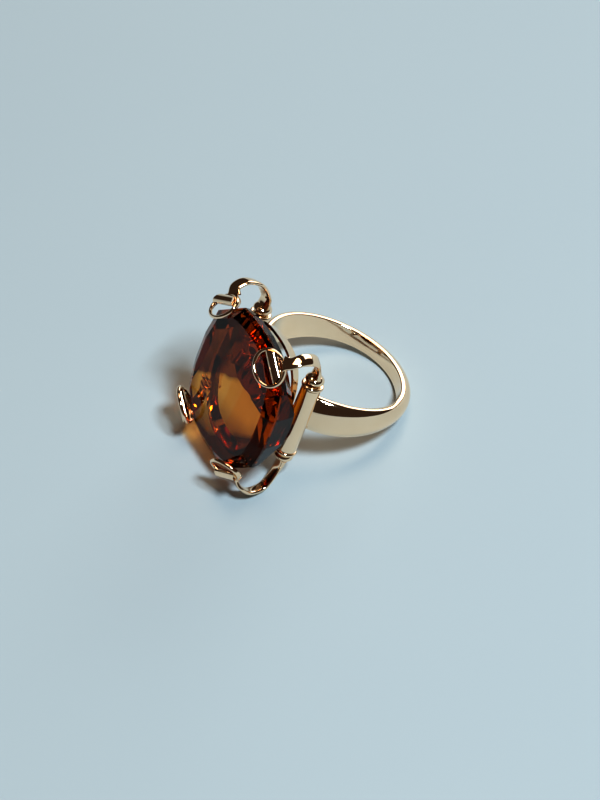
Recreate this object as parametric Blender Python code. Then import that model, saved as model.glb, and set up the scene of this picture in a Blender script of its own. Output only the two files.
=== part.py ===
"""Cocktail ring: a half-round shank, two side bars, four strap claws with
oval eyes and cross barrels, an open collet and a cushion step-cut stone.

The ring is modelled upright in its own frame: X across the finger, Y along
the finger, Z from the middle of the finger to the stone. The empty
"ring_frame" then lays it on its side on the ground plane, resting on the
back of the shank and the two lower claws.
"""

from math import cos, pi, radians, sin, sqrt, tan

import bmesh
import bpy
from mathutils import Matrix, Vector

MM = 0.001

# ---------------------------------------------------------------- dimensions
# All in millimetres.
FIT = 0.06                    # clearance in the brazed joints and seats

FINGER_R = 8.6                # finger hole, 17.2 mm across
SHANK_HALF_BACK = 0.98        # half width of the band at the back
SHANK_HALF_GAIN = 1.30        # how much wider it is at the shoulders
SHANK_HALF_SIDE = 0.30        # extra swell at the sides
SHANK_CREST_BACK = 1.50       # thickness over the crest, back
SHANK_CREST_TOP = 1.32        # thickness over the crest, shoulders
SHANK_EDGE = 0.62             # thickness at the edges of the band
SHANK_END = radians(147.0)    # where the band stops, measured from the back

HEAD_Y = -0.45                # head centre along the finger
BAR_X, BAR_Z = 6.5, 8.0       # bar axes
BAR_R = 1.2
BAR_HALF = 4.75               # straight bar, half length
FLANGE_R, FLANGE_T = 1.36, 0.42
BEAD_R, BEAD_T = 1.16, 1.15

STRAP_W, STRAP_T = 1.72, 0.52     # strap section
EYE_AT = (5.62, 7.48, 14.55)      # eye centre, first quadrant
EYE_NORMAL = (0.396, 0.598, 0.697)
EYE_LONG, EYE_SHORT = 2.18, 1.72  # half axes of the eye's centre line
EYE_WIRE = 0.24                   # half thickness of the eye's wire
BARREL_WIDE, BARREL_DEEP = 0.66, 0.50
BARREL_OUT = 0.72                 # barrel axis, outward of the eye centre
BARREL_RISE = 0.26                # and above it

# The claws are bent by hand, so each differs a little: how far its eye and
# the belly of its loop sit from the first one, as (across, along, up), and
# where on the eye the strap arrives, in degrees.
CLAWS = {
    (1, 1): ((0.0, 0.0, 0.0), (0.0, 0.0, 0.0), -90),
    (-1, 1): ((0.05, -0.08, -0.04), (-0.10, 0.05, -0.05), -93),
    (1, -1): ((0.0, 0.65, 0.35), (0.05, 0.85, 0.20), -90),
    (-1, -1): ((0.10, 0.40, 0.10), (0.0, 0.75, 0.15), -90),
}

COLLET_X, COLLET_Y = 5.55, 7.30   # collet half axes at its foot
COLLET_POWER = 2.6                # roundness of its outline
COLLET_FOOT, COLLET_RIM = 8.62, 9.48
COLLET_RISE = 0.80                # how much higher the rim is at the ends
COLLET_WALL = 0.62
COLLET_FLARE, COLLET_SPREAD = 0.15, 0.55

STONE_X, STONE_Y = 8.45, 9.60     # girdle half sizes
STONE_CORNER = 9.32               # and across the cut corners
SEAT_Y = -0.95                    # middle of the collet and stone, along the finger
STONE_AT_X = 0.10                 # the stone sits a little to one side
TABLE_Z, GIRDLE_TOP, GIRDLE_LOW, KEEL_Z = 14.30, 13.30, 13.02, 9.12

# Steps of the cut, outward from the girdle, as (height of the step, lean in
# degrees): first the crown's, then the pavilion's.
SIDE_STEPS = (((0.45, 45), (0.60, 62)), ((3.45, 12), (0.62, 86.5)))
END_STEPS = (((0.45, 44), (0.60, 60)), ((0.80, 20), (1.60, 54), (1.60, 78)))
CORNER_STEPS = (((1.10, 46),), ((0.80, 14), (2.00, 46), (0.90, 80)))
# Flats of the outline: (azimuth, distance from the middle, steps).
FLATS = (
    (0.0, STONE_X, SIDE_STEPS),
    (radians(11), STONE_X * cos(radians(11)) + 0.40, SIDE_STEPS),
    (radians(48), STONE_CORNER, CORNER_STEPS),
    (radians(78), STONE_Y * cos(radians(12)) + 0.36, END_STEPS),
    (radians(90), STONE_Y, END_STEPS),
)


# ------------------------------------------------------------------ cleaning
for old in list(bpy.data.objects):
    bpy.data.objects.remove(old, do_unlink=True)


# ----------------------------------------------------------------- materials
def principled(name, colour, roughness, metallic, transmission=0.0, ior=1.5):
    material = bpy.data.materials.new(name)
    material.use_nodes = True
    shader = material.node_tree.nodes["Principled BSDF"]
    shader.inputs["Base Color"].default_value = (*colour, 1.0)
    shader.inputs["Roughness"].default_value = roughness
    shader.inputs["Metallic"].default_value = metallic
    shader.inputs["Transmission Weight"].default_value = transmission
    shader.inputs["IOR"].default_value = ior
    material.diffuse_color = (*colour, 1.0)
    return material


GOLD = (0.78, 0.54, 0.36)
POLISHED_GOLD = {}
for piece in ("shank", "bars", "collars", "straps", "eyes", "barrels", "collet"):
    POLISHED_GOLD[piece] = principled("rose_gold_" + piece, GOLD, 0.10, 1.0)
AMBER = principled("amber_stone", (0.55, 0.20, 0.03), 0.02, 0.0, 1.0, 1.55)

ring = bpy.data.objects.new("ring_frame", None)
bpy.context.scene.collection.objects.link(ring)


# ------------------------------------------------------------------- helpers
def add_object(name, bm, material, origin=(0, 0, 0)):
    """Link a finished bmesh, in ring millimetres, as one smooth object."""
    origin = Vector(origin)
    bmesh.ops.recalc_face_normals(bm, faces=bm.faces)
    for vert in bm.verts:
        vert.co = (vert.co - origin) * MM
    mesh = bpy.data.meshes.new(name)
    bm.to_mesh(mesh)
    bm.free()
    mesh.materials.append(material)
    mesh.shade_smooth()
    mesh.set_sharp_from_angle(angle=radians(34))
    obj = bpy.data.objects.new(name, mesh)
    obj.parent = ring
    obj.location = origin * MM
    bpy.context.scene.collection.objects.link(obj)
    return obj


def loft(bm, rings, closed=False):
    """Skin a list of equal point rings; an open skin gets end caps."""
    rows = [[bm.verts.new(p) for p in ring_points] for ring_points in rings]
    count = len(rows[0])
    spans = len(rows) if closed else len(rows) - 1
    for i in range(spans):
        a, b = rows[i], rows[(i + 1) % len(rows)]
        for j in range(count):
            k = (j + 1) % count
            bm.faces.new((a[j], a[k], b[k], b[j]))
    if not closed:
        bm.faces.new(rows[0])
        bm.faces.new(reversed(rows[-1]))
    return rows


def turned_along_y(bm, profile, x, z, segments=20):
    """Turn a closed (radius, y) profile, whose ends lie on the axis, round a
    line parallel to Y."""
    axis_low = bm.verts.new((x, profile[0][1], z))
    axis_high = bm.verts.new((x, profile[-1][1], z))
    rows = []
    for radius, y in profile[1:-1]:
        rows.append([
            bm.verts.new((x + radius * cos(2 * pi * k / segments), y,
                          z + radius * sin(2 * pi * k / segments)))
            for k in range(segments)
        ])
    for a, b in zip(rows, rows[1:]):
        for k in range(segments):
            m = (k + 1) % segments
            bm.faces.new((a[k], b[k], b[m], a[m]))
    for k in range(segments):
        m = (k + 1) % segments
        bm.faces.new((axis_low, rows[0][k], rows[0][m]))
        bm.faces.new((axis_high, rows[-1][m], rows[-1][k]))


def mirror_to(corner, point):
    """First-quadrant point to the corner (side, end), with the head's shift."""
    side, end = corner
    return Vector((side * point[0], HEAD_Y + end * point[1], point[2]))


def spline(points, steps):
    """Catmull-Rom points through the given ones."""
    points = [Vector(p) for p in points]
    points = [2 * points[0] - points[1], *points, 2 * points[-1] - points[-2]]
    out = []
    for i in range(1, len(points) - 2):
        p0, p1, p2, p3 = points[i - 1:i + 3]
        for s in range(steps):
            t = s / steps
            out.append(0.5 * (2 * p1 + (p2 - p0) * t
                              + (2 * p0 - 5 * p1 + 4 * p2 - p3) * t * t
                              + (3 * p1 - p0 - 3 * p2 + p3) * t * t * t))
    out.append(points[-2])
    return out


# --------------------------------------------------------------------- shank
def shank_half(angle):
    return (SHANK_HALF_BACK + SHANK_HALF_GAIN * (1 - cos(angle)) / 2
            + SHANK_HALF_SIDE * sin(angle) ** 2
            - 0.45 * sin(angle) ** 2 * cos(angle))


def shank_crest(angle):
    return SHANK_CREST_BACK + (SHANK_CREST_TOP - SHANK_CREST_BACK) * (1 - cos(angle)) / 2


def shank_section(angle):
    """Half-round section: flat inside, soft edges, domed crest."""
    half, crest = shank_half(angle), shank_crest(angle)
    section = [(-half + 0.12, 0.0), (-half, 0.14), (-half, SHANK_EDGE * 0.7)]
    for k in range(1, 8):
        u = cos(pi - pi * k / 8)
        section.append((half * u * 0.985,
                        SHANK_EDGE + (crest - SHANK_EDGE) * sqrt(max(0.0, 1 - u * u))))
    section += [(half, SHANK_EDGE * 0.7), (half, 0.14), (half - 0.12, 0.0)]
    return section


shank_mesh = bmesh.new()
stations = 60
rings = []
for i in range(stations + 1):
    angle = -SHANK_END + 2 * SHANK_END * i / stations
    rings.append([
        ((FINGER_R + rise) * sin(angle), y, -(FINGER_R + rise) * cos(angle))
        for y, rise in shank_section(angle)
    ])
loft(shank_mesh, rings)
shank = add_object("shank", shank_mesh, POLISHED_GOLD["shank"])


# ---------------------------------------------------- side bars and their ends
BAR_SEGMENTS = 24
for side, label in ((1, "right"), (-1, "left")):
    profile = [(0, HEAD_Y - BAR_HALF), (BAR_R - 0.1, HEAD_Y - BAR_HALF),
               (BAR_R, HEAD_Y - BAR_HALF + 0.1), (BAR_R, HEAD_Y + BAR_HALF - 0.1),
               (BAR_R - 0.1, HEAD_Y + BAR_HALF), (0, HEAD_Y + BAR_HALF)]
    bm = bmesh.new()
    turned_along_y(bm, profile, side * BAR_X, BAR_Z, BAR_SEGMENTS)
    add_object("side_bar_" + label, bm, POLISHED_GOLD["bars"],
               (side * BAR_X, HEAD_Y, BAR_Z))

    # The shank's end is scooped out to seat against the bar.
    bm = bmesh.new()
    reach, scoop = 7.0, (BAR_R + FIT) / cos(pi / BAR_SEGMENTS)
    turned_along_y(bm, [(0, -reach), (scoop, -reach), (scoop, reach), (0, reach)],
                   side * BAR_X, BAR_Z, BAR_SEGMENTS)
    cutter = add_object("shank_seat_cutter_" + label, bm, POLISHED_GOLD["bars"])
    cutter.hide_render = True
    cutter.display_type = "WIRE"
    seat = shank.modifiers.new("seat_" + label, "BOOLEAN")
    seat.operation = "DIFFERENCE"
    seat.solver = "EXACT"
    seat.object = cutter

    for end, where in ((1, "upper"), (-1, "lower")):
        # Flange: a thin disc with a rounded rim.
        start = BAR_HALF + FIT
        bm = bmesh.new()
        rim = []
        for k in range(5):
            a = -pi / 2 + pi * k / 4
            rim.append((FLANGE_R - 0.16 + 0.16 * cos(a),
                        HEAD_Y + end * (start + FLANGE_T / 2 + FLANGE_T / 2 * sin(a))))
        turned_along_y(bm, [(0, rim[0][1]), *rim, (0, rim[-1][1])],
                       side * BAR_X, BAR_Z)
        add_object("bar_flange_%s_%s" % (label, where), bm, POLISHED_GOLD["collars"],
                   (side * BAR_X, HEAD_Y + end * start, BAR_Z))

        # Bead: a flattened ball on the flange, with a flat for the claw.
        start += FLANGE_T + FIT
        bm = bmesh.new()
        round_side = []
        for k in range(7):
            a = -radians(58) + radians(116) * k / 6
            round_side.append((BEAD_R * cos(a),
                               HEAD_Y + end * (start + BEAD_T / 2
                                               + BEAD_T / 2 * sin(a) / sin(radians(58)))))
        turned_along_y(bm, [(0, round_side[0][1]), *round_side, (0, round_side[-1][1])],
                       side * BAR_X, BAR_Z)
        add_object("bar_bead_%s_%s" % (label, where), bm, POLISHED_GOLD["collars"],
                   (side * BAR_X, HEAD_Y + end * start, BAR_Z))

CLAW_FOOT = BAR_HALF + FLANGE_T + BEAD_T + 3 * FIT


# --------------------------------------------------------------------- claws
normal = Vector(EYE_NORMAL).normalized()
tangent = Vector((0, 0, 1)).cross(normal).normalized() * -1    # along the corner
slope = normal.cross(tangent).normalized()
if slope.z < 0:
    slope.negate()                                             # up the corner


def eye_point(centre, angle, grow=0.0):
    """Point on the eye's centre line, or grown outward from it."""
    return (centre + tangent * ((EYE_LONG + grow) * cos(angle))
            + slope * ((EYE_SHORT + grow) * sin(angle)))


def strap_rings(corner):
    """Strap from the bead, outward, and back over the corner of the stone to
    the eye."""
    eye_shift, belly_shift, arrives = CLAWS[corner]
    eye_shift, belly_shift = Vector(eye_shift), Vector(belly_shift)
    neck = eye_point(Vector(EYE_AT) + eye_shift, radians(arrives),
                     EYE_WIRE + STRAP_T / 2 + 2.5 * FIT)
    foot = Vector((BAR_X, CLAW_FOOT, BAR_Z))
    line = spline([
        foot,
        foot + Vector((0.05, 1.25, 0.25)) + belly_shift * 0.5,
        foot + Vector((0.50, 2.65, 1.45)) + belly_shift,
        foot + Vector((0.72, 3.15, 3.35)) + belly_shift,
        foot + Vector((0.55, 2.62, 4.75)) + belly_shift * 0.6 + eye_shift * 0.4,
        neck,
    ], 5)
    # The strap bends in one plane; its width is square to that plane.
    across = (line[len(line) // 2] - line[0]).cross(line[-1] - line[0]).normalized()
    rings = []
    for i, point in enumerate(line):
        along = (line[min(i + 1, len(line) - 1)] - line[max(i - 1, 0)]).normalized()
        if i == 0:
            along = Vector((0, 1, 0))
        wide = (across - along * across.dot(along)).normalized()
        thick = along.cross(wide).normalized()
        share = i / (len(line) - 1)
        flare = max(0.0, 1 - share / 0.22) ** 2
        width = STRAP_W * (1 - 0.20 * share * share + 0.12 * flare)
        depth = STRAP_T * (1 + 0.75 * flare)
        ring_points = []
        for k in range(10):
            a = 2 * pi * k / 10
            u, v = cos(a), sin(a)
            # a soft rectangle
            u = (abs(u) ** 0.75) * (1 if u >= 0 else -1)
            v = (abs(v) ** 0.75) * (1 if v >= 0 else -1)
            ring_points.append(point + wide * (u * width / 2) + thick * (v * depth / 2))
        rings.append(ring_points)
    return rings


def eye_rings(corner):
    """Closed oval of wire, deeper towards the strap than at the tip."""
    centre = Vector(EYE_AT) + Vector(CLAWS[corner][0])
    rings = []
    count = 28
    for i in range(count):
        a = 2 * pi * i / count
        point = eye_point(centre, a)
        outward = (tangent * (cos(a) / EYE_LONG) + slope * (sin(a) / EYE_SHORT)).normalized()
        near_strap = (1 - sin(a)) / 2
        rise = EYE_WIRE * (1 + 1.2 * near_strap ** 3)
        rings.append([
            point + outward * (EYE_WIRE * cos(2 * pi * k / 8))
            + normal * (rise * sin(2 * pi * k / 8) - (rise - EYE_WIRE))
            for k in range(8)
        ])
    return rings


def barrel_rings(corner):
    """Cylinder laid across the eye near the strap, its ends shaped to the
    inside of the eye."""
    centre = Vector(EYE_AT) + Vector(CLAWS[corner][0])
    inner_long, inner_short = EYE_LONG - EYE_WIRE - FIT, EYE_SHORT - EYE_WIRE - FIT
    rings = []
    for at, radius in ((-1.0, 0.80), (-0.95, 0.96), (-0.84, 1.0),
                       (0.84, 1.0), (0.95, 0.96), (1.0, 0.80)):
        points = []
        for k in range(16):
            a = 2 * pi * k / 16
            up = -BARREL_OUT + BARREL_WIDE * radius * cos(a)
            half = inner_long * sqrt(1 - (up / inner_short) ** 2)
            points.append(centre + tangent * (half * at) + slope * up
                          + normal * (BARREL_RISE + BARREL_DEEP * radius * sin(a)))
        rings.append(points)
    return rings


for side, label in ((1, "right"), (-1, "left")):
    for end, where in ((1, "upper"), (-1, "lower")):
        corner = (side, end)
        for name, shape, material, closed in (
            ("claw_strap", strap_rings, "straps", False),
            ("claw_eye", eye_rings, "eyes", True),
            ("claw_barrel", barrel_rings, "barrels", False),
        ):
            bm = bmesh.new()
            loft(bm, [[mirror_to(corner, p) for p in r] for r in shape(corner)], closed)
            add_object("%s_%s_%s" % (name, label, where), bm, POLISHED_GOLD[material],
                       mirror_to(corner, EYE_AT))


# -------------------------------------------------------------------- collet
def rounded_outline(half_x, half_y, power, count=44):
    points = []
    for k in range(count):
        a = 2 * pi * k / count
        c, s = cos(a), sin(a)
        points.append((half_x * abs(c) ** (2 / power) * (1 if c >= 0 else -1),
                       half_y * abs(s) ** (2 / power) * (1 if s >= 0 else -1)))
    return points


def collet_section(angle):
    """Section of the wall as (distance outward, height): rolled foot, and a
    wall that flares and rises towards the ends to follow the stone."""
    ends = sin(angle) ** 2
    rim, flare = COLLET_RIM + COLLET_RISE * ends, COLLET_FLARE + COLLET_SPREAD * ends
    half = COLLET_WALL / 2
    section = [(-half + half * cos(pi + pi * k / 4),
                COLLET_FOOT + half * 0.8 * (1 + sin(pi + pi * k / 4)))
               for k in range(5)]
    low = COLLET_FOOT + half * 0.8
    return section + [
        (flare * 0.5, low + (rim - low) * 0.51), (flare, rim),
        (flare - COLLET_WALL * 0.62, rim),
        (flare * 0.66 - COLLET_WALL * 0.86, low + (rim - low) * 0.62)]


bm = bmesh.new()
outline = rounded_outline(1.0, 1.0, COLLET_POWER)
loft(bm, [
    [((COLLET_X + out) * ux, SEAT_Y + (COLLET_Y + out) * uy, height)
     for out, height in collet_section(2 * pi * k / len(outline))]
    for k, (ux, uy) in enumerate(outline)
], closed=True)
add_object("stone_collet", bm, POLISHED_GOLD["collet"], (0, SEAT_Y, COLLET_FOOT))


# --------------------------------------------------------------------- stone
def cut(bm, azimuth, height, reach, lean):
    """Grind one flat: outward direction azimuth, leaning by lean from
    upright, through the point at distance reach and the given height."""
    direction = Vector((cos(azimuth), sin(azimuth), 0))
    facet = (direction * cos(lean) + Vector((0, 0, sin(lean)))).normalized()
    done = bmesh.ops.bisect_plane(
        bm, geom=bm.verts[:] + bm.edges[:] + bm.faces[:], dist=1e-5,
        plane_co=direction * reach + Vector((0, 0, height)),
        plane_no=facet, clear_outer=True)
    edges = [e for e in done["geom_cut"] if isinstance(e, bmesh.types.BMEdge)]
    if edges:
        bmesh.ops.contextual_create(bm, geom=edges)


girdle_flats = []
for azimuth, reach, steps in FLATS:
    for turn in sorted({azimuth, -azimuth, pi - azimuth, azimuth - pi}):
        girdle_flats.append((turn, reach, steps))

stone = bmesh.new()
bmesh.ops.create_cube(stone, size=2.0)
for vert in stone.verts:
    vert.co.x *= STONE_X + 2
    vert.co.y *= STONE_Y + 2
    vert.co.z = TABLE_Z if vert.co.z > 0 else KEEL_Z
for turn, reach, steps in girdle_flats:
    cut(stone, turn, GIRDLE_TOP, reach, 0.0)
for turn, reach, both in girdle_flats:
    for start, way, steps in ((GIRDLE_TOP, 1, both[0]), (GIRDLE_LOW, -1, both[1])):
        height, inset = start, 0.0
        for step, lean in steps:
            cut(stone, turn, height, reach - inset, way * radians(lean))
            height += way * step
            inset += step * tan(radians(lean))
for vert in stone.verts:
    vert.co += Vector((STONE_AT_X, SEAT_Y, 0))
add_object("stone", stone, AMBER, (STONE_AT_X, SEAT_Y, GIRDLE_TOP))


# ------------------------------------------------------- laying the ring down
def local_points(names):
    points = []
    for obj in bpy.data.objects:
        if obj.type == "MESH" and not obj.hide_render and obj.name.startswith(names):
            points += [(obj.location + v.co) for v in obj.data.vertices]
    return points


def lowest(points, tilt):
    return min(p.y * cos(tilt) + p.z * sin(tilt) for p in points)


back = local_points(("shank",))
head = local_points(("claw_strap", "claw_eye", "stone"))
low, high = 0.0, radians(45)
for _ in range(50):
    middle = (low + high) / 2
    if lowest(head, middle) < lowest(back, middle):
        low = middle
    else:
        high = middle
TILT = (low + high) / 2

ring.rotation_euler = (pi / 2 - TILT, 0, 0)
bpy.context.view_layer.update()
world = [ring.matrix_basis @ p for p in local_points(("",))]
ring.location = (
    0.0,
    -(min(p.y for p in world) + max(p.y for p in world)) / 2,
    -min(p.z for p in world),
)
bpy.context.view_layer.update()
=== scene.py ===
"""Looks of the cocktail ring: polished rose gold and a step-cut amber stone."""

from math import cos, pi, radians, sin, sqrt, tan

import bmesh
import bpy
from mathutils import Matrix, Vector, noise


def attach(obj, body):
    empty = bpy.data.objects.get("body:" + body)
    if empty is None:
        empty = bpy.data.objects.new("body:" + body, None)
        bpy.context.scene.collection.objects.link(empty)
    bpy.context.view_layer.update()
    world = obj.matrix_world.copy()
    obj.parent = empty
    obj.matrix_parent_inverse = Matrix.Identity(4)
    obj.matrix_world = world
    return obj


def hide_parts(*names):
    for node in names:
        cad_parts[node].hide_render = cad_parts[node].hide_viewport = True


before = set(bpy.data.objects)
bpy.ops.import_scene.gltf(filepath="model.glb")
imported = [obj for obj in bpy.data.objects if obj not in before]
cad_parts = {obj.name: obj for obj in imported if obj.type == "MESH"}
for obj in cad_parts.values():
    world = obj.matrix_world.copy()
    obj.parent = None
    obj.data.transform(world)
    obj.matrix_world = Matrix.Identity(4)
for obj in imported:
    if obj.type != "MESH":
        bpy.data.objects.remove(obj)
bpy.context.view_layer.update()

MM = 0.001

# The ring's own frame, in millimetres (X across the finger, Y along it, Z to
# the stone), and how it lies on the ground.
TILT = radians(27.5605)
LIFT = Vector((0.0, 4.59087, 5.21238))
RING = Matrix.Scale(MM, 4) @ Matrix.Translation(LIFT) @ Matrix.Rotation(pi / 2 - TILT, 4, "X")

KEY_AT = Vector((0.47, 0.24, 0.91))     # the main light
KEY_WAY = KEY_AT.normalized()

# ---------------------------------------------------------------- dimensions
FINGER_R = 8.6
SHANK_HALF_BACK, SHANK_HALF_GAIN, SHANK_HALF_SIDE = 0.98, 1.30, 0.30
SHANK_CREST_BACK, SHANK_CREST_TOP, SHANK_EDGE = 1.50, 1.32, 0.62
SHANK_END = radians(146.5)

HEAD_Y = -0.45
BAR_X, BAR_Z, BAR_R, BAR_HALF = 6.5, 8.0, 1.2, 4.75
FLANGE_R, FLANGE_T = 1.36, 0.42
BEAD_R, BEAD_T = 1.16, 1.15
FIT = 0.06
CLAW_FOOT = BAR_HALF + FLANGE_T + BEAD_T + 3 * FIT

STRAP_W, STRAP_T = 1.72, 0.52
EYE_AT = Vector((5.62, 7.48, 14.55))
EYE_NORMAL = Vector((0.396, 0.598, 0.697)).normalized()
EYE_LONG, EYE_SHORT, EYE_WIRE = 2.18, 1.72, 0.24
BARREL_WIDE, BARREL_DEEP, BARREL_OUT, BARREL_RISE = 0.66, 0.50, 0.72, 0.26
CLAWS = {
    (1, 1): ((0.0, 0.0, 0.0), (0.0, 0.0, 0.0), -90),
    (-1, 1): ((0.05, -0.08, -0.04), (-0.10, 0.05, -0.05), -93),
    (1, -1): ((0.0, 0.65, 0.35), (0.05, 0.85, 0.20), -90),
    (-1, -1): ((0.10, 0.40, 0.10), (0.0, 0.75, 0.15), -90),
}

COLLET_X, COLLET_Y, COLLET_POWER = 5.55, 7.30, 2.6
COLLET_FOOT, COLLET_RIM, COLLET_RISE, COLLET_WALL = 8.62, 9.48, 0.80, 0.62
COLLET_FLARE, COLLET_SPREAD = 0.15, 0.55

STONE_X, STONE_Y, STONE_CORNER = 8.45, 9.60, 9.32
SEAT_Y, STONE_AT_X = -0.95, 0.10
TABLE_Z, GIRDLE_TOP, GIRDLE_LOW, KEEL_Z = 14.30, 13.30, 13.02, 9.12
# Steps of the cut, outward from the girdle: (height of the step, lean).
SIDE_STEPS = (((0.45, 45), (0.60, 62)), ((3.45, 12), (0.62, 86.5)))
END_STEPS = (((0.45, 44), (0.60, 60)), ((0.80, 20), (1.60, 54), (1.60, 78)))
CORNER_STEPS = (((1.10, 46),), ((0.80, 14), (2.00, 46), (0.90, 80)))
FLATS = (
    (0.0, STONE_X, SIDE_STEPS),
    (radians(11), STONE_X * cos(radians(11)) + 0.40, SIDE_STEPS),
    (radians(48), STONE_CORNER, CORNER_STEPS),
    (radians(78), STONE_Y * cos(radians(12)) + 0.36, END_STEPS),
    (radians(90), STONE_Y, END_STEPS),
)


# ----------------------------------------------------------------- node tools
class Nodes:
    """A short way to write node trees."""

    def __init__(self, tree):
        self.tree = tree

    def add(self, kind, links=None, **values):
        node = self.tree.nodes.new(kind)
        for key, value in values.items():
            setattr(node, key, value)
        for key, value in (links or {}).items():
            socket = node.inputs[key]
            if isinstance(value, bpy.types.NodeSocket):
                self.tree.links.new(value, socket)
            else:
                socket.default_value = value
        return node

    def mapped(self, scale=(1, 1, 1), turn=(0, 0, 0)):
        where = self.add("ShaderNodeTexCoord")
        return self.add("ShaderNodeMapping", {
            "Vector": where.outputs["Object"], "Scale": scale, "Rotation": turn,
        }).outputs["Vector"]

    def noise(self, vector, scale, detail=4.0, rough=0.55, distort=0.0):
        return self.add("ShaderNodeTexNoise", {
            "Vector": vector, "Scale": scale, "Detail": detail,
            "Roughness": rough, "Distortion": distort,
        }).outputs["Fac"]

    def span(self, value, low, high, to_low, to_high):
        return self.add("ShaderNodeMapRange", {
            "Value": value, "From Min": low, "From Max": high,
            "To Min": to_low, "To Max": to_high,
        }).outputs["Result"]

    def maths(self, operation, a, b=0.0):
        return self.add("ShaderNodeMath", {0: a, 1: b}, operation=operation).outputs[0]


def ring_place(n):
    """Where a point is in the ring's own frame, in millimetres."""
    from_lift = n.add("ShaderNodeVectorMath", {
        0: n.add("ShaderNodeTexCoord").outputs["Object"], 1: LIFT * MM,
    }, operation="SUBTRACT").outputs["Vector"]
    return [n.add("ShaderNodeVectorMath", {0: from_lift, 1: axis.normalized() / MM},
                  operation="DOT_PRODUCT").outputs["Value"]
            for axis in RING.to_3x3().col]


def polished_gold(name, wear=1.0, seed=0.0):
    """Mirror-polished rose gold with a soft colour drift, hairline scratches
    and the faint ripple that hand polishing leaves."""
    material = bpy.data.materials.new(name)
    material.use_nodes = True
    tree = material.node_tree
    shader = tree.nodes["Principled BSDF"]
    n = Nodes(tree)
    shader.inputs["Metallic"].default_value = 1.0
    shader.inputs["IOR"].default_value = 1.5

    base = n.mapped(turn=(seed, seed * 0.7, seed * 1.3))
    drift = n.noise(base, 240.0, 3.0)
    colour = n.add("ShaderNodeMix", {
        "Factor": n.span(drift, 0.35, 0.65, 0.0, 1.0),
        "A": (0.985, 0.755, 0.530, 1.0), "B": (0.95, 0.715, 0.490, 1.0),
    }, data_type="RGBA")
    tree.links.new(colour.outputs["Result"], shader.inputs["Base Color"])

    # Hairlines in two directions: noise drawn out along one axis.
    lines_a = n.noise(n.mapped((9000, 260, 900), (seed, 0.4, 0.9)), 1.0, 2.0)
    lines_b = n.noise(n.mapped((700, 7600, 240), (0.8, seed, -0.5)), 1.0, 2.0)
    hair = n.maths("ADD", n.span(lines_a, 0.64, 0.72, 0.0, 1.0),
                   n.span(lines_b, 0.66, 0.74, 0.0, 1.0))
    smear = n.noise(base, 520.0, 5.0)
    rough = n.maths("ADD", n.span(smear, 0.35, 0.75, 0.035, 0.09),
                    n.maths("MULTIPLY", hair, 0.08 * wear))
    tree.links.new(rough, shader.inputs["Roughness"])

    ripple = n.noise(base, 330.0, 1.5)
    soft = n.add("ShaderNodeBump", {
        "Strength": 0.10, "Distance": 0.00012, "Height": ripple})
    fine = n.add("ShaderNodeBump", {
        "Strength": 0.10 * wear, "Distance": 0.000004, "Height": hair,
        "Normal": soft.outputs["Normal"]})
    tree.links.new(fine.outputs["Normal"], shader.inputs["Normal"])
    return material


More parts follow.
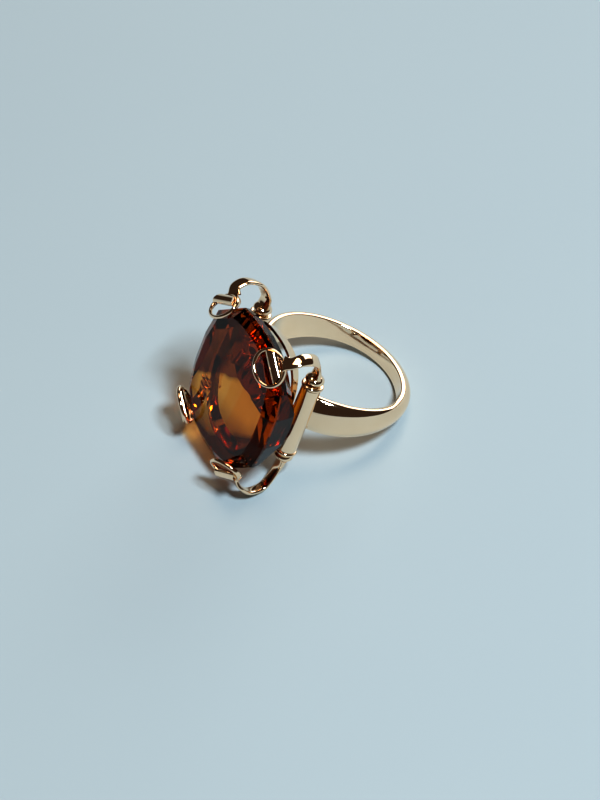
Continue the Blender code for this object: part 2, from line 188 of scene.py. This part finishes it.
def amber_stone():
    """Clear amber quartz: crisp, almost perfectly smooth facets, a body colour
    with painted shade, deepened by the way light travels in it, and a warm shadow."""
    material = bpy.data.materials.new("amber_stone")
    material.use_nodes = True
    tree = material.node_tree
    shader = tree.nodes["Principled BSDF"]
    n = Nodes(tree)
    shader.inputs["Metallic"].default_value = 0.0
    shader.inputs["Transmission Weight"].default_value = 1.0
    shader.inputs["IOR"].default_value = 1.55
    shader.inputs["Specular IOR Level"].default_value = 0.25
    shader.inputs["Specular Tint"].default_value = (0.16, 0.09, 0.05, 1.0)

    # Painted shade: deep red-brown painted towards the upper end, along the far
    # edge of the lower one and along the near side, on the pavilion only, over a
    # random drift in tone; honey on the left turning to deeper orange on the right
    # is painted shade too.
    zones = n.noise(n.mapped((1, 0.6, 1)), 120.0, 3.0)
    x, y, z = ring_place(n)
    drift = n.span(zones, 0.35, 0.65, 0.0, 1.0)
    # Honey on the left, deeper orange on the right: painted shade.
    left = n.add("ShaderNodeMix", {
        "Factor": drift, "A": (0.99, 0.62, 0.175, 1.0), "B": (0.90, 0.47, 0.095, 1.0),
    }, data_type="RGBA")
    right = n.add("ShaderNodeMix", {
        "Factor": drift, "A": (0.97, 0.45, 0.060, 1.0), "B": (0.90, 0.35, 0.030, 1.0),
    }, data_type="RGBA")
    colour = n.add("ShaderNodeMix", {
        "Factor": n.span(n.maths("ADD", x, n.maths("MULTIPLY", drift, 0.4)), 0.0, 0.5, 0.0, 1.0),
        "A": left.outputs["Result"], "B": right.outputs["Result"],
    }, data_type="RGBA")
    waver = n.maths("MULTIPLY", n.maths("SUBTRACT", n.noise(n.mapped(), 260.0, 2.0), 0.5), 1.6)
    # Painted shade towards the upper end and along the far edge of the lower end.
    upper = n.span(n.maths("ADD", n.maths("SUBTRACT", y, n.maths("MULTIPLY", x, 0.62)), waver),
                   -0.4, 0.3, 0.0, 1.0)
    lower = n.span(n.maths("ADD", n.maths("SUBTRACT", n.maths("MULTIPLY", x, 0.80), y), waver),
                   7.6, 8.5, 0.0, 1.0)
    lower = n.maths("MAXIMUM", lower, n.span(n.maths("MULTIPLY", y, -1.0), 8.9, 9.5, 0.0, 1.0))
    # Painted shade along the near side.
    near_side_shade = n.span(x, 6.2, 7.2, 0.0, 1.0)
    # The painted shade is kept to the pavilion, below the girdle.
    inside = n.span(z, 12.7, 12.9, 1.0, 0.0)
    # A cluster of tiny dark specks, low on the left.
    corner = n.add("ShaderNodeVectorMath", {
        0: n.add("ShaderNodeCombineXYZ", {"X": x, "Y": y}).outputs["Vector"],
        1: (-4.6, -7.6, 0.0)}, operation="DISTANCE").outputs["Value"]
    specks = n.maths("MULTIPLY", n.span(n.noise(n.mapped(), 2100.0, 2.0), 0.66, 0.70, 0.0, 0.9),
                     n.span(corner, 1.2, 2.6, 1.0, 0.0))
    deep = n.maths("MAXIMUM", n.maths("MAXIMUM", upper, lower), n.maths("MAXIMUM", near_side_shade, specks))
    deep = n.maths("MULTIPLY", deep, inside)
    # Painted shade mixed into the body colour as near-black red-brown.
    colour_with_painted_shade = n.add("ShaderNodeMix", {
        "Factor": deep, "A": colour.outputs["Result"], "B": (0.060, 0.008, 0.004, 1.0),
    }, data_type="RGBA")
    tree.links.new(colour_with_painted_shade.outputs["Result"], shader.inputs["Base Color"])
    smear = n.noise(n.mapped(), 800.0, 4.0)
    tree.links.new(n.span(smear, 0.4, 0.8, 0.0, 0.012), shader.inputs["Roughness"])

    body = n.add("ShaderNodeVolumeAbsorption", {
        "Color": (0.84, 0.54, 0.08, 1.0), "Density": 250.0})
    out = tree.nodes["Material Output"]
    tree.links.new(body.outputs["Volume"], out.inputs["Volume"])

    # The light it lets through: one bright streak where the facets gather it,
    # deep brown elsewhere.
    where = n.add("ShaderNodeTexCoord").outputs["Object"]
    from_spot = n.add("ShaderNodeVectorMath", {
        0: where, 1: (-5.3 * MM, -12.5 * MM, 0.0)}, operation="SUBTRACT").outputs["Vector"]
    beam = n.add("ShaderNodeVectorMath", {0: from_spot, 1: KEY_WAY},
                 operation="CROSS_PRODUCT").outputs["Vector"]
    away = n.add("ShaderNodeVectorMath", {0: beam}, operation="LENGTH").outputs["Value"]
    spill = n.add("ShaderNodeMix", {
        "Factor": n.span(away, 0.7 * MM, 2.1 * MM, 0.0, 1.0),
        "A": (1.0, 0.76, 0.47, 1.0), "B": (0.30, 0.24, 0.20, 1.0),
    }, data_type="RGBA")
    path = n.add("ShaderNodeLightPath")
    let_through = n.add("ShaderNodeBsdfTransparent", {"Color": spill.outputs["Result"]})
    both = n.add("ShaderNodeMixShader", {
        0: path.outputs["Is Shadow Ray"], 1: shader.outputs["BSDF"],
        2: let_through.outputs["BSDF"]})
    tree.links.new(both.outputs["Shader"], out.inputs["Surface"])
    return material


GOLD = {
    "shank": polished_gold("gold_shank", 1.0, 0.0),
    "bar": polished_gold("gold_bar", 1.0, 1.1),
    "claw": polished_gold("gold_claw", 0.6, 2.3),
    "collet": polished_gold("gold_collet", 0.8, 3.1),
}
STONE = amber_stone()


# ---------------------------------------------------------------- mesh tools
def piece(name, bm, material, node, flat=False, sharp=34):
    """Finish a bmesh in ring millimetres as a piece that stands for a node."""
    bmesh.ops.recalc_face_normals(bm, faces=bm.faces)
    bm.transform(RING)
    mesh = bpy.data.meshes.new(name)
    bm.to_mesh(mesh)
    bm.free()
    mesh.materials.append(material)
    if flat:
        mesh.shade_flat()
    else:
        mesh.shade_smooth()
        mesh.set_sharp_from_angle(angle=radians(sharp))
    obj = bpy.data.objects.new(name, mesh)
    bpy.context.scene.collection.objects.link(obj)
    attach(obj, "root")
    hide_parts(*([node] if isinstance(node, str) else node))
    return obj


def loft(bm, rings, closed=False):
    rows = [[bm.verts.new(p) for p in ring_points] for ring_points in rings]
    count = len(rows[0])
    spans = len(rows) if closed else len(rows) - 1
    for i in range(spans):
        a, b = rows[i], rows[(i + 1) % len(rows)]
        for j in range(count):
            k = (j + 1) % count
            bm.faces.new((a[j], a[k], b[k], b[j]))
    if not closed:
        bm.faces.new(rows[0])
        bm.faces.new(reversed(rows[-1]))


def turned_along_y(bm, profile, x, z, segments=96):
    axis_low = bm.verts.new((x, profile[0][1], z))
    axis_high = bm.verts.new((x, profile[-1][1], z))
    rows = [[bm.verts.new((x + r * cos(2 * pi * k / segments), y,
                           z + r * sin(2 * pi * k / segments)))
             for k in range(segments)] for r, y in profile[1:-1]]
    for a, b in zip(rows, rows[1:]):
        for k in range(segments):
            m = (k + 1) % segments
            bm.faces.new((a[k], b[k], b[m], a[m]))
    for k in range(segments):
        m = (k + 1) % segments
        bm.faces.new((axis_low, rows[0][k], rows[0][m]))
        bm.faces.new((axis_high, rows[-1][m], rows[-1][k]))


def spline(points, steps):
    points = [Vector(p) for p in points]
    points = [2 * points[0] - points[1], *points, 2 * points[-1] - points[-2]]
    out = []
    for i in range(1, len(points) - 2):
        p0, p1, p2, p3 = points[i - 1:i + 3]
        for s in range(steps):
            t = s / steps
            out.append(0.5 * (2 * p1 + (p2 - p0) * t
                              + (2 * p0 - 5 * p1 + 4 * p2 - p3) * t * t
                              + (3 * p1 - p0 - 3 * p2 + p3) * t * t * t))
    out.append(points[-2])
    return out


def mirror_to(corner, point):
    side, end = corner
    return Vector((side * point[0], HEAD_Y + end * point[1], point[2]))


# --------------------------------------------------------------------- shank
def shank_section(angle, steps=28):
    half = (SHANK_HALF_BACK + SHANK_HALF_GAIN * (1 - cos(angle)) / 2
            + SHANK_HALF_SIDE * sin(angle) ** 2 - 0.45 * sin(angle) ** 2 * cos(angle))
    crest = SHANK_CREST_BACK + (SHANK_CREST_TOP - SHANK_CREST_BACK) * (1 - cos(angle)) / 2
    # The inside is very slightly domed and its edges are rounded over.
    section = []
    for k in range(9):
        u = -1 + 2 * k / 8
        section.append((-(half - 0.14) * u, 0.035 * u * u))
    for k in range(1, 6):
        a = -pi / 2 - (pi / 2) * k / 6
        section.append((-(half - 0.14) + 0.14 * cos(a), 0.175 + 0.14 * sin(a)))
    low = SHANK_EDGE * 0.66
    section.append((-half, low))
    for k in range(1, steps):
        u = cos(pi - pi * k / steps)
        section.append((half * u, low + (crest - low) * (1 - abs(u) ** 2.25) ** 0.56))
    section.append((half, low))
    for k in range(5, 0, -1):
        a = -pi / 2 + (pi / 2) * k / 6
        section.append(((half - 0.14) + 0.14 * cos(a), 0.175 + 0.14 * sin(a)))
    return section


bm = bmesh.new()
stations = 260
rings = []
for i in range(stations + 1):
    angle = -SHANK_END + 2 * SHANK_END * i / stations
    rings.append([((FINGER_R + rise) * sin(angle), y, -(FINGER_R + rise) * cos(angle))
                  for y, rise in shank_section(angle)])
loft(bm, rings)
piece("ring_shank", bm, GOLD["shank"], "shank")

# ---------------------------------------------------- side bars and their ends
for side, label in ((1, "right"), (-1, "left")):
    profile = [(0, -BAR_HALF)]
    for k in range(7):
        a = -pi / 2 + (pi / 2) * k / 6
        profile.append((BAR_R - 0.12 + 0.12 * cos(a), -BAR_HALF + 0.12 + 0.12 * sin(a)))
    for k in range(1, 12):
        u = -1 + 2 * k / 12
        profile.append((BAR_R, u * (BAR_HALF - 0.2)))
    for k in range(7):
        a = (pi / 2) * k / 6
        profile.append((BAR_R - 0.12 + 0.12 * cos(a), BAR_HALF - 0.12 + 0.12 * sin(a)))
    profile.append((0, BAR_HALF))
    bm = bmesh.new()
    turned_along_y(bm, [(r, HEAD_Y + y) for r, y in profile], side * BAR_X, BAR_Z)
    piece("bar_" + label, bm, GOLD["bar"], "side_bar_" + label)

    for end, where in ((1, "upper"), (-1, "lower")):
        tag = "%s_%s" % (label, where)
        start = BAR_HALF
        profile = [(0, start - 0.05)]
        for k in range(13):
            a = -pi / 2 + pi * k / 12
            profile.append((FLANGE_R - 0.21 + 0.21 * cos(a),
                            start + FIT / 2 + FLANGE_T / 2 + FLANGE_T / 2 * sin(a)))
        profile.append((0, start + FLANGE_T + FIT))
        bm = bmesh.new()
        turned_along_y(bm, [(r, HEAD_Y + end * y) for r, y in profile],
                       side * BAR_X, BAR_Z)
        piece("flange_" + tag, bm, GOLD["bar"], "bar_flange_" + tag)

        start += FLANGE_T + FIT
        profile = [(0, start - 0.02)]
        for k in range(21):
            a = -radians(62) + radians(140) * k / 20
            profile.append((BEAD_R * cos(a), start + BEAD_T / 2
                            + BEAD_T / 2 * sin(a) / sin(radians(62))))
        profile.append((0, start + BEAD_T + 0.02))
        bm = bmesh.new()
        turned_along_y(bm, [(r, HEAD_Y + end * y) for r, y in profile],
                       side * BAR_X, BAR_Z)
        piece("bead_" + tag, bm, GOLD["bar"], "bar_bead_" + tag)

# --------------------------------------------------------------------- claws
tangent = Vector((0, 0, 1)).cross(EYE_NORMAL).normalized() * -1
slope = EYE_NORMAL.cross(tangent).normalized()
if slope.z < 0:
    slope.negate()


def eye_point(centre, angle, grow=0.0):
    return (centre + tangent * ((EYE_LONG + grow) * cos(angle))
            + slope * ((EYE_SHORT + grow) * sin(angle)))


def strap_rings(corner, around=28):
    eye_shift, belly_shift, arrives = CLAWS[corner]
    eye_shift, belly_shift = Vector(eye_shift), Vector(belly_shift)
    neck = eye_point(EYE_AT + eye_shift, radians(arrives), 0.10)
    foot = Vector((BAR_X, CLAW_FOOT - 0.25, BAR_Z))
    line = spline([
        foot,
        foot + Vector((0.05, 1.40, 0.25)) + belly_shift * 0.5,
        foot + Vector((0.50, 2.90, 1.45)) + belly_shift,
        foot + Vector((0.72, 3.40, 3.35)) + belly_shift,
        foot + Vector((0.55, 2.87, 4.75)) + belly_shift * 0.6 + eye_shift * 0.4,
        neck,
    ], 18)
    across = (line[len(line) // 2] - line[0]).cross(line[-1] - line[0]).normalized()
    rings = []
    for i, point in enumerate(line):
        along = (line[min(i + 1, len(line) - 1)] - line[max(i - 1, 0)]).normalized()
        if i == 0:
            along = Vector((0, 1, 0))
        wide = (across - along * across.dot(along)).normalized()
        thick = along.cross(wide).normalized()
        share = i / (len(line) - 1)
        flare = max(0.0, 1 - share / 0.22) ** 2
        spread = max(0.0, (share - 0.82) / 0.18) ** 2
        width = STRAP_W * (1 - 0.20 * share * share + 0.12 * flare + 0.35 * spread)
        depth = STRAP_T * (1 + 0.75 * flare)
        points = []
        for k in range(around):
            a = 2 * pi * k / around
            u, v = cos(a), sin(a)
            u = (abs(u) ** 0.72) * (1 if u >= 0 else -1)
            v = (abs(v) ** 0.72) * (1 if v >= 0 else -1)
            points.append(point + wide * (u * width / 2) + thick * (v * depth / 2))
        rings.append(points)
    return rings


def eye_rings(corner):
    centre = EYE_AT + Vector(CLAWS[corner][0])
    rings = []
    count = 120
    for i in range(count):
        a = 2 * pi * i / count
        point = eye_point(centre, a)
        outward = (tangent * (cos(a) / EYE_LONG) + slope * (sin(a) / EYE_SHORT)).normalized()
        near_strap = (1 - sin(a)) / 2
        rise = EYE_WIRE * (1 + 1.2 * near_strap ** 3)
        wire = EYE_WIRE * (0.92 + 0.25 * near_strap ** 4)
        rings.append([point + outward * (wire * cos(2 * pi * k / 20))
                      + EYE_NORMAL * (rise * sin(2 * pi * k / 20) - (rise - EYE_WIRE))
                      for k in range(20)])
    return rings


def barrel_rings(corner):
    centre = EYE_AT + Vector(CLAWS[corner][0])
    inner_long, inner_short = EYE_LONG - EYE_WIRE * 0.75, EYE_SHORT - EYE_WIRE * 0.75
    rings = []
    for at in [-1 + 2 * k / 24 for k in range(25)]:
        points = []
        for k in range(40):
            a = 2 * pi * k / 40
            up = -BARREL_OUT + BARREL_WIDE * cos(a)
            half = inner_long * sqrt(1 - (up / inner_short) ** 2)
            points.append(centre + tangent * (half * at) + slope * up
                          + EYE_NORMAL * (BARREL_RISE + BARREL_DEEP * sin(a)))
        rings.append(points)
    return rings


for side, label in ((1, "right"), (-1, "left")):
    for end, where in ((1, "upper"), (-1, "lower")):
        corner, tag = (side, end), "%s_%s" % (label, where)
        for name, node, shape, closed in (
            ("strap_", "claw_strap_", strap_rings, False),
            ("eye_", "claw_eye_", eye_rings, True),
            ("barrel_", "claw_barrel_", barrel_rings, False),
        ):
            bm = bmesh.new()
            loft(bm, [[mirror_to(corner, p) for p in r] for r in shape(corner)], closed)
            piece(name + tag, bm, GOLD["claw"], node + tag)

# -------------------------------------------------------------------- collet
def collet_section(angle, arc=13):
    """Section of the wall as (distance outward, height): rolled foot, and a
    wall that flares and rises towards the ends to follow the stone."""
    ends = sin(angle) ** 2
    rim, flare = COLLET_RIM + COLLET_RISE * ends, COLLET_FLARE + COLLET_SPREAD * ends
    half = COLLET_WALL / 2
    section = [(-half + half * cos(pi + pi * k / (arc - 1)),
                COLLET_FOOT + half * 0.8 * (1 + sin(pi + pi * k / (arc - 1))))
               for k in range(arc)]
    low = COLLET_FOOT + half * 0.8
    return section + [
        (flare * 0.30, low + (rim - low) * 0.34), (flare * 0.66, low + (rim - low) * 0.68),
        (flare, rim - 0.05), (flare - 0.05, rim), (flare - COLLET_WALL * 0.62, rim),
        (flare * 0.66 - COLLET_WALL * 0.86, low + (rim - low) * 0.62)]


bm = bmesh.new()
rings = []
for k in range(220):
    a = 2 * pi * k / 220
    c, s = cos(a), sin(a)
    ux = abs(c) ** (2 / COLLET_POWER) * (1 if c >= 0 else -1)
    uy = abs(s) ** (2 / COLLET_POWER) * (1 if s >= 0 else -1)
    rings.append([((COLLET_X + out) * ux, SEAT_Y + (COLLET_Y + out) * uy, height)
                  for out, height in collet_section(a)])
loft(bm, rings, closed=True)
piece("collet", bm, GOLD["collet"], "stone_collet")


# --------------------------------------------------------------------- stone
def cut(bm, azimuth, height, reach, lean):
    direction = Vector((cos(azimuth), sin(azimuth), 0))
    facet = (direction * cos(lean) + Vector((0, 0, sin(lean)))).normalized()
    done = bmesh.ops.bisect_plane(
        bm, geom=bm.verts[:] + bm.edges[:] + bm.faces[:], dist=1e-5,
        plane_co=direction * reach + Vector((0, 0, height)),
        plane_no=facet, clear_outer=True)
    edges = [e for e in done["geom_cut"] if isinstance(e, bmesh.types.BMEdge)]
    if edges:
        bmesh.ops.contextual_create(bm, geom=edges)


flats = []
for azimuth, reach, steps in FLATS:
    for turn in sorted({azimuth, -azimuth, pi - azimuth, azimuth - pi}):
        flats.append((turn, reach, steps))

bm = bmesh.new()
bmesh.ops.create_cube(bm, size=2.0)
for vert in bm.verts:
    vert.co.x *= STONE_X + 2
    vert.co.y *= STONE_Y + 2
    vert.co.z = TABLE_Z if vert.co.z > 0 else KEEL_Z
for turn, reach, steps in flats:
    cut(bm, turn, GIRDLE_TOP, reach, 0.0)
for turn, reach, both in flats:
    for start, way, steps in ((GIRDLE_TOP, 1, both[0]), (GIRDLE_LOW, -1, both[1])):
        height, inset = start, 0.0
        for step, lean in steps:
            cut(bm, turn, height, reach - inset, way * radians(lean))
            height += way * step
            inset += step * tan(radians(lean))
for vert in bm.verts:
    vert.co += Vector((STONE_AT_X, SEAT_Y, 0))
piece("amber_stone", bm, STONE, "stone", flat=True)


# --------------------------------------------------------------------- floor
def floor_material():
    material = bpy.data.materials.new("pale_table")
    material.use_nodes = True
    tree = material.node_tree
    shader = tree.nodes["Principled BSDF"]
    n = Nodes(tree)
    cloud = n.noise(n.mapped(), 6.0, 4.0)
    colour = n.add("ShaderNodeMix", {
        "Factor": n.span(cloud, 0.3, 0.7, 0.0, 1.0),
        "A": (0.452, 0.520, 0.545, 1.0), "B": (0.470, 0.538, 0.558, 1.0),
    }, data_type="RGBA")
    tree.links.new(colour.outputs["Result"], shader.inputs["Base Color"])
    shader.inputs["Roughness"].default_value = 0.7
    shader.inputs["Specular IOR Level"].default_value = 0.25
    grain = n.noise(n.mapped(), 2500.0, 3.0)
    bump = n.add("ShaderNodeBump", {"Strength": 0.08, "Distance": 0.00003, "Height": grain})
    tree.links.new(bump.outputs["Normal"], shader.inputs["Normal"])
    return material


mesh = bpy.data.meshes.new("table_top")
bm = bmesh.new()
bmesh.ops.create_grid(bm, x_segments=1, y_segments=1, size=1.5)
bm.to_mesh(mesh)
bm.free()
mesh.materials.append(floor_material())
table = bpy.data.objects.new("table_top", mesh)
bpy.context.scene.collection.objects.link(table)


# -------------------------------------------------------------------- lights
def softbox(name, place, aim, size, power, colour=(1, 1, 1), size_y=None):
    light = bpy.data.lights.new(name, "AREA")
    light.energy = power
    light.color = colour
    light.shape = "RECTANGLE"
    light.size = size
    light.size_y = size_y or size
    obj = bpy.data.objects.new(name, light)
    obj.location = place
    direction = Vector(aim) - Vector(place)
    obj.rotation_euler = direction.to_track_quat("-Z", "Y").to_euler()
    bpy.context.scene.collection.objects.link(obj)
    return obj


softbox("key", KEY_AT, (0, 0, 0), 0.20, 12.4, (0.77, 0.90, 1.0))
softbox("overhead", (-0.20, 0.30, 1.1), (0, 0, 0), 0.45, 3.5, (1.0, 0.74, 0.52))
softbox("window", (-0.58, 0.98, 0.36), (0, 0, 0), 0.80, 4.2, (1.0, 0.98, 0.94), 0.66)

world = bpy.data.worlds.new("room")
bpy.context.scene.world = world
world.use_nodes = True
room = Nodes(world.node_tree)
dim = world.node_tree.nodes["Background"]
dim.inputs["Color"].default_value = (0.44, 0.30, 0.22, 1.0)
dim.inputs["Strength"].default_value = 0.10
# The wall behind the table, seen only in low views.
wall = room.add("ShaderNodeBackground", {"Color": (0.23, 0.27, 0.285, 1.0)})
seen = room.add("ShaderNodeMixShader", {
    0: room.add("ShaderNodeLightPath").outputs["Is Camera Ray"],
    1: dim.outputs["Background"], 2: wall.outputs["Background"]})
world.node_tree.links.new(seen.outputs["Shader"],
                          world.node_tree.nodes["World Output"].inputs["Surface"])

# -------------------------------------------------------------------- camera
camera = bpy.data.cameras.new("view")
camera.sensor_fit = "AUTO"
camera.sensor_width = 36.0
camera.lens = 147.9913
camera.clip_start = 0.01
camera.clip_end = 20.0
camera.dof.use_dof = False
eye = bpy.data.objects.new("view", camera)
eye.location = (0.23386, -0.09013, 0.30508)
eye.rotation_euler = (radians(39.324), radians(5.887), radians(61.734))
bpy.context.scene.collection.objects.link(eye)
bpy.context.scene.camera = eye

bpy.context.scene.view_settings.view_transform = "Standard"
bpy.context.scene.view_settings.look = "None"
bpy.context.scene.view_settings.exposure = 0.10
bpy.context.scene.view_settings.gamma = 0.80

bpy.context.view_layer.update()
